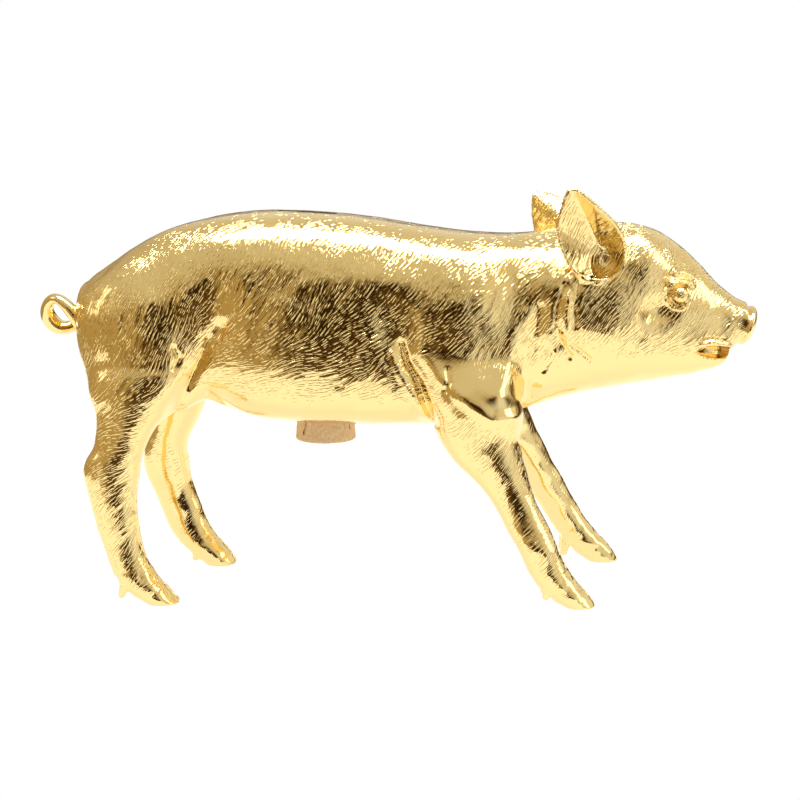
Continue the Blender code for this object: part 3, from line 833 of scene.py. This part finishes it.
def sculpt():
    """The whole skin as one closed mesh with its relief and its shader's attributes."""
    grid = Grid((-234, -72, -3), (234, 72, 266))
    grid.fill(skin_field)
    for side, sweep in ((-1, 0.0), (1, LEFT_EAR_SWEEP)):
        points, quads, triangles = ear_solid(side, sweep)
        grid.add(points, quads, triangles, EAR_BLEND)
        x, y, z, *rest = EAR_HOLLOW
        grid.hollow((x, side * y, z, *rest), 2.0)
    points, quads = grid.mesh()
    quads = quads[:, ::-1]
    normals = vertex_normals(points, quads)
    outside = points + normals * 0.5
    if skin_field(outside[:2000]).mean() < skin_field(points[:2000]).mean():
        quads = quads[:, ::-1]
        normals = -normals
    points, across, amount = relief(points, normals)
    points[:, 2] = np.maximum(points[:, 2], GROUND)
    skin = make_mesh("skin", points, quads)
    vector = skin.data.attributes.new("across", "FLOAT_VECTOR", "POINT")
    vector.data.foreach_set("vector", across.astype(np.float32).ravel())
    fur = skin.data.attributes.new("fur", "FLOAT", "POINT")
    fur.data.foreach_set("value", amount.astype(np.float32))
    outward = skin.data.attributes.new("outward", "FLOAT_VECTOR", "POINT")
    outward.data.foreach_set("vector", vertex_normals(points, quads).astype(np.float32).ravel())
    return skin


def keep_outward(piece):
    """Shades a piece by the whole skin's normals, so that its cut edges don't show as lines."""
    mesh = piece.data
    attribute = mesh.attributes["outward"]
    count = len(mesh.loops)
    wanted = np.empty(len(mesh.vertices) * 3, np.float32)
    attribute.data.foreach_get("vector", wanted)
    corners = np.empty(count, np.int32)
    mesh.loops.foreach_get("vertex_index", corners)
    sizes = np.empty(len(mesh.polygons), np.int32)
    mesh.polygons.foreach_get("loop_total", sizes)
    faces = np.empty(len(mesh.polygons) * 3, np.float32)
    mesh.polygons.foreach_get("normal", faces)
    flat = np.repeat(faces.reshape(-1, 3), sizes, axis=0)
    smooth = wanted.reshape(-1, 3)[corners]
    smooth /= np.linalg.norm(smooth, axis=1, keepdims=True) + 1e-9
    own = np.empty(count * 3, np.float32)
    mesh.corner_normals.foreach_get("vector", own)
    outer = (smooth * flat).sum(1) > 0.5
    normals = np.where(outer[:, None], smooth, own.reshape(-1, 3))
    mesh.normals_split_custom_set(normals)
    mesh.attributes.remove(mesh.attributes["outward"])


def split(skin):
    """Cuts the skin into pieces that stand for the CAD model's nodes."""
    pieces = {}
    for name, (table, side) in LEGS.items():
        front = table[0][1] > 0
        low = (0 if front else -260, 0 if side > 0 else -120, -20)
        high = (260 if front else 0, 120 if side > 0 else 0, LEG_JOINT_Z)
        cutter = box_cutter("leg_box", low, high)
        pieces[name] = cut(copy_of(skin, name), cutter, "INTERSECT")
        bpy.data.objects.remove(cutter)
    middle, length, width = SLOT
    hollow = [
        cavity_cutter(),
        box_cutter(
            "slot", (middle - length / 2, -width / 2, 215), (middle + length / 2, width / 2, 262)
        ),
        cone_cutter("bore", 88, 134, CORK_BOTTOM_R + CORK_GAP + 0.5, CORK_TOP_R + CORK_GAP - 0.4),
    ]
    for name, low_y, high_y in (("shell_right", -120, 0), ("shell_left", 0, 120)):
        cutter = box_cutter("half", (-260, low_y, LEG_JOINT_Z), (260, high_y, 300))
        shell = cut(copy_of(skin, name), cutter, "INTERSECT")
        bpy.data.objects.remove(cutter)
        for tool in hollow:
            cut(shell, tool, "DIFFERENCE")
        pieces[name] = shell
    for tool in hollow:
        bpy.data.objects.remove(tool)
    bpy.data.objects.remove(skin)
    return pieces


def make_cork():
    """A tapered cork with softened edges and a slightly pitted skin."""
    sides, radius_low, radius_high = 160, CORK_BOTTOM_R, CORK_TOP_R
    bottom, top = CORK_BOTTOM_Z, CORK_BOTTOM_Z + CORK_LENGTH
    profile = [(r, bottom) for r in np.linspace(0.5, radius_low - 1.2, 18)]
    profile += [(radius_low - 1.2 + 1.2 * math.sin(a), bottom + 1.2 - 1.2 * math.cos(a))
                for a in np.linspace(0.3, math.pi / 2, 4)]
    heights = np.linspace(bottom + 1.8, top - 1.6, 30)
    profile += [(np.interp(z, (bottom, top), (radius_low, radius_high)), z) for z in heights]
    profile += [(radius_high - 1.0 + math.cos(a), top - 1.0 + math.sin(a))
                for a in np.linspace(0.2, math.pi / 2, 4)]
    profile += [(r, top) for r in np.linspace(radius_high - 1.6, 0.5, 14)]
    angles = np.linspace(0, 2 * math.pi, sides, endpoint=False)
    points = np.array([
        (CORK_X + r * math.cos(a), r * math.sin(a), z) for r, z in profile for a in angles
    ])
    quads = []
    for ring in range(0, (len(profile) - 1) * sides, sides):
        for i in range(sides):
            j = (i + 1) % sides
            quads.append((ring + i, ring + j, ring + sides + j, ring + sides + i))
    quads = np.array(quads)
    normals = vertex_normals(points, quads)
    pits = lattice(points * (1, 1, 0.45), 1.1, 21)
    shift = -0.35 * smooth_step(0.9, 1.8, pits) + 0.06 * lattice(points, 2.4, 22)
    cork = make_mesh("cork", points + normals * shift[:, None], quads)
    bm = bmesh.new()
    bm.from_mesh(cork.data)
    bmesh.ops.holes_fill(bm, edges=bm.edges[:], sides=0)
    bmesh.ops.recalc_face_normals(bm, faces=bm.faces[:])
    bm.to_mesh(cork.data)
    bm.free()
    return cork


def finish_piece(piece, material, body, slot, *nodes):
    piece.data.materials.clear()
    piece.data.materials.append(material)
    piece.data.shade_smooth()
    piece.data.set_sharp_from_angle(angle=math.radians(60))
    if "outward" in piece.data.attributes:
        keep_outward(piece)
    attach(piece, body)
    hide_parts(*nodes)


def build_object():
    gold, cork, steel = gold_material(), cork_material(), steel_material()
    replaced = {
        "shell_right": ("shell_right", "ear_right", "tail"),
        "shell_left": ("shell_left", "ear_left"),
    }
    for name, piece in split(sculpt()).items():
        piece.name = name + "_skin"
        finish_piece(piece, gold, "bank", "gold_plating", *replaced.get(name, (name,)))
    finish_piece(make_cork(), cork, "cork", "natural_cork", "cork_stopper")
    for name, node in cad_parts.items():
        if name.startswith("dowel"):
            node.data.materials.clear()
            node.data.materials.append(steel)


# ---------------------------------------------------------------- studio

FLOOR_FRONT, FLOOR_BACK = -0.28, 0.7
FLOOR_LEFT, FLOOR_RIGHT = -0.55, 0.8


def make_floor():
    bm = bmesh.new()
    bmesh.ops.create_grid(bm, x_segments=1, y_segments=1, size=1.0)
    low, high = Vector((FLOOR_LEFT, FLOOR_FRONT, 0)), Vector((FLOOR_RIGHT, FLOOR_BACK, 0))
    half = (high - low) / 2
    placed = Matrix.Translation((low + high) / 2) @ Matrix.Diagonal((half.x, half.y, 1, 1))
    bmesh.ops.transform(bm, matrix=placed, verts=bm.verts[:])
    floor = from_bmesh("studio_floor", bm)
    floor.location.z = -0.0002
    material = bpy.data.materials.new("pale_floor")
    tree, shader = nodes_of(material)
    shader.inputs["Base Color"].default_value = (0.08, 0.08, 0.08, 1)
    shader.inputs["Roughness"].default_value = 1.0
    shader.inputs["Specular IOR Level"].default_value = 0.0
    shader.inputs["Emission Color"].default_value = (1, 1, 1, 1)
    shader.inputs["Emission Strength"].default_value = 1.0
    floor.data.materials.append(material)


def make_world():
    """White for the camera; for reflections a studio: dark towards the front, pale elsewhere."""
    world = bpy.data.worlds.new("studio")
    bpy.context.scene.world = world
    world.use_nodes = True
    tree = world.node_tree
    background = tree.nodes["Background"]
    direction = add_node(tree, "ShaderNodeTexCoord").outputs["Generated"]
    parts = add_node(tree, "ShaderNodeSeparateXYZ", {0: direction}).outputs
    rise = add_node(
        tree, "ShaderNodeMapRange", {"Value": parts["Z"], "From Min": -1.0, "From Max": 1.0}
    ).outputs["Result"]
    front = add_node(tree, "ShaderNodeValToRGB", {"Fac": rise})
    set_ramp(front, (
        (0.0, (0.22, 0.14, 0.06)), (0.40, (0.08, 0.043, 0.013)), (0.52, (0.018, 0.009, 0.003)),
        (0.59, (0.05, 0.027, 0.009)), (0.64, (0.26, 0.20, 0.12)), (0.71, (0.52, 0.46, 0.34)),
        (0.85, (0.66, 0.62, 0.52)), (1.0, (0.66, 0.63, 0.56)),
    ))
    pale = add_node(tree, "ShaderNodeValToRGB", {"Fac": rise})
    set_ramp(pale, (
        (0.0, (1.05, 1.05, 1.05)), (0.5, (1.0, 1.0, 1.0)), (0.65, (0.85, 0.8, 0.70)),
        (0.85, (0.70, 0.65, 0.55)), (1.0, (0.66, 0.63, 0.56)),
    ))
    back = add_node(tree, "ShaderNodeValToRGB", {"Fac": rise})
    set_ramp(back, (
        (0.0, (0.95, 0.92, 0.86)), (0.38, (0.70, 0.62, 0.48)), (0.46, (0.30, 0.21, 0.11)),
        (0.50, (0.05, 0.027, 0.009)), (0.53, (0.06, 0.034, 0.012)), (0.565, (0.50, 0.44, 0.34)),
        (0.59, (0.90, 0.88, 0.82)), (0.72, (0.78, 0.73, 0.63)), (0.85, (0.68, 0.64, 0.56)),
        (1.0, (0.66, 0.63, 0.56)),
    ))
    rear = add_node(tree, "ShaderNodeValToRGB", {"Fac": rise})
    set_ramp(rear, (
        (0.0, (0.34, 0.25, 0.12)), (0.45, (0.43, 0.32, 0.155)), (0.58, (0.46, 0.34, 0.165)),
        (0.70, (0.54, 0.45, 0.30)), (1.0, (0.66, 0.63, 0.56)),
    ))
    behind = add_node(
        tree, "ShaderNodeMapRange",
        {"Value": parts["X"], "From Min": -0.05, "From Max": -0.45, "To Min": 0.0, "To Max": 1.0},
        interpolation_type="SMOOTHSTEP",
    )
    beyond = add_node(
        tree, "ShaderNodeMapRange",
        {"Value": parts["Y"], "From Min": -0.35, "From Max": 0.15, "To Min": 0.0, "To Max": 1.0},
        interpolation_type="SMOOTHSTEP",
    )
    ahead = add_node(
        tree, "ShaderNodeMapRange",
        {"Value": parts["X"], "From Min": 0.35, "From Max": 0.75, "To Min": 0.0, "To Max": 0.8},
        interpolation_type="SMOOTHSTEP",
    )
    studio = mix_colours(tree, beyond, mix_colours(tree, ahead, front, pale), back)
    studio = mix_colours(tree, behind, studio, rear)
    rays = add_node(tree, "ShaderNodeLightPath")
    shown = add_node(tree, "ShaderNodeMix", {0: rays.outputs["Is Camera Ray"]}, data_type="RGBA")
    tree.links.new(studio.outputs[2], shown.inputs[6])
    shown.inputs[7].default_value = (1, 1, 1, 1)
    tree.links.new(shown.outputs[2], background.inputs["Color"])


def mix_colours(tree, share, first, second):
    """The first node's colour, or the second's where the share is one."""
    node = add_node(tree, "ShaderNodeMix", {0: share.outputs["Result"]}, data_type="RGBA")
    tree.links.new(first.outputs[0] if "Color" in first.outputs else first.outputs[2], node.inputs[6])
    tree.links.new(second.outputs["Color"], node.inputs[7])
    return node


def set_ramp(node, stops):
    ramp = node.color_ramp
    while len(ramp.elements) < len(stops):
        ramp.elements.new(0.5)
    for element, (position, colour) in zip(ramp.elements, stops):
        element.position = position
        element.color = (*colour, 1.0)


def area_light(name, place, aim, size, power, colour=(1, 1, 1)):
    data = bpy.data.lights.new(name, "AREA")
    data.shape = "RECTANGLE"
    data.size, data.size_y = size
    data.energy = power
    data.color = colour
    light = bpy.data.objects.new(name, data)
    light.location = place
    light.rotation_euler = (Vector(aim) - Vector(place)).to_track_quat("-Z", "Y").to_euler()
    bpy.context.scene.collection.objects.link(light)


def make_lights():
    area_light("overhead_strip", (0.2, -0.01, 1.7), (0.2, 0, 0.15), (1.9, 0.58), 58)
    area_light("right_side", (2.2, -0.5, 1.1), (0.2, 0, 0.15), (1.0, 1.2), 6)
    area_light("left_side", (-2.2, -0.3, 1.3), (-0.2, 0, 0.15), (0.8, 1.0), 3)


def make_camera():
    """From the right of the animal, a little above it, as far off as a product photo is taken."""
    elevation, distance = math.radians(10.5), 1.2
    target = Vector((0, 0, 0.121))
    data = bpy.data.cameras.new("camera")
    data.sensor_width = 36.0
    data.lens = 83.7
    camera = bpy.data.objects.new("camera", data)
    camera.location = target + distance * Vector((0, -math.cos(elevation), math.sin(elevation)))
    camera.rotation_euler = (target - camera.location).to_track_quat("-Z", "Y").to_euler()
    bpy.context.scene.collection.objects.link(camera)
    bpy.context.scene.camera = camera


make_camera()
build_object()
make_floor()
make_world()
make_lights()
bpy.context.scene.view_settings.view_transform = "Standard"
